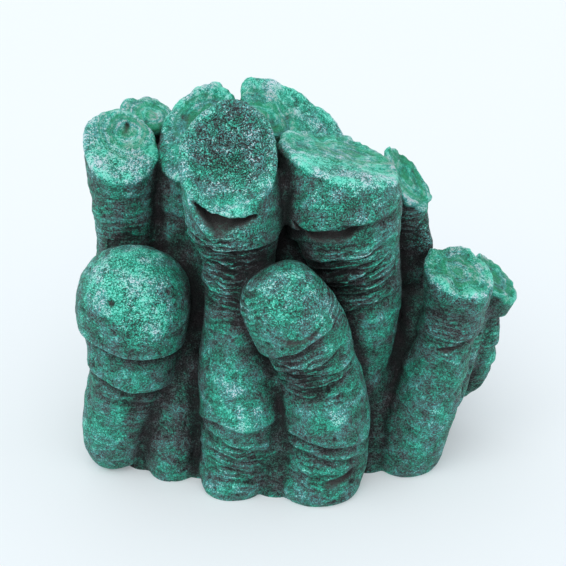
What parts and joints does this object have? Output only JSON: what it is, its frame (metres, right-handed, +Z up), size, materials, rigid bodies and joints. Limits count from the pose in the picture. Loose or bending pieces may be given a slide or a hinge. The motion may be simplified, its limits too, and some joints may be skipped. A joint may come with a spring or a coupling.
{
  "type": "malachite specimen",
  "caption": "Free-standing cluster of fused malachite stalactites with domed knobs and broken tops, cut flat at the base.",
  "frame": {"origin": "middle of the bounding box, on the flat base", "axes": "+Z up from the base, X along the width from the domed knob on the left to the spur on the right, -Y towards the front with the two tallest fronts"},
  "size_m": [0.0835, 0.0544, 0.0724],
  "materials": {
    "malachite": "velvety matte green stone, dark blue-green in the creases and lighter turquoise on the high spots"
  },
  "bodies": {
    "root": {"malachite_cluster": "malachite"}
  },
  "joints": []
}
